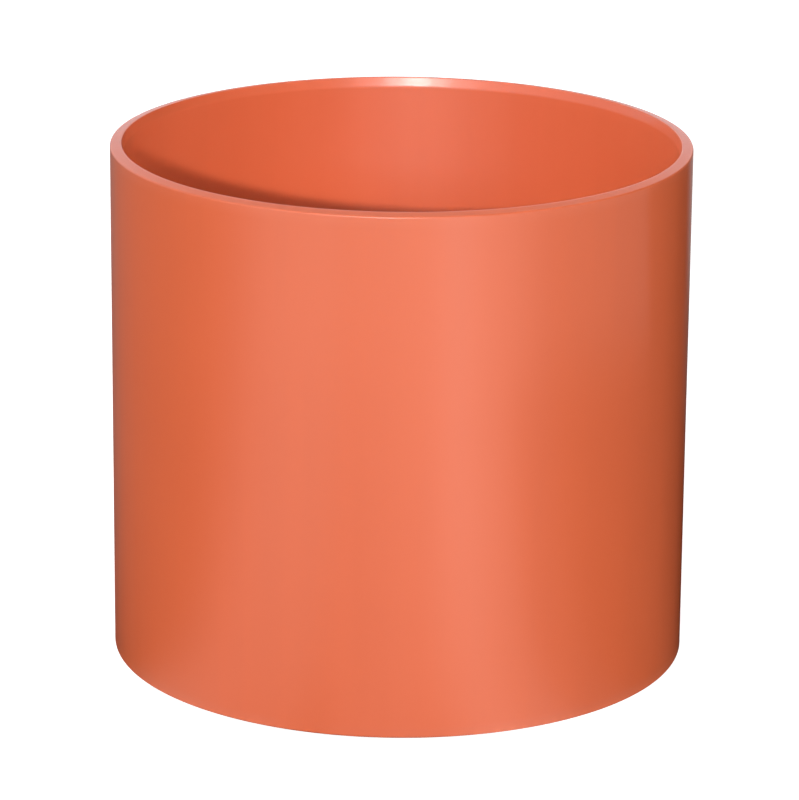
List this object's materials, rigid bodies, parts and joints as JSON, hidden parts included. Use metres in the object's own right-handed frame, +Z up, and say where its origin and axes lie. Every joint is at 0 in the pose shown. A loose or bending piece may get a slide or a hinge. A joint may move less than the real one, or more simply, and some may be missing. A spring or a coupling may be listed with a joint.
{
  "type": "pipe coupling",
  "caption": "Straight orange sleeve with a plain socket at each end, bevelled mouths and an inner stop ring, for joining lengths of PVC drain pipe end to end.",
  "frame": {"origin": "on the sleeve's axis, in the plane of the lower rim", "axes": "+Z up along the sleeve's axis, out of the upper socket; X and Y are free, because the form is turned about Z"},
  "size_m": [0.116, 0.116, 0.105],
  "materials": {
    "pvc": "smooth moulded rigid PVC, orange-brown, softly glossy"
  },
  "bodies": {
    "root": {"coupling_sleeve": "pvc"}
  },
  "joints": []
}
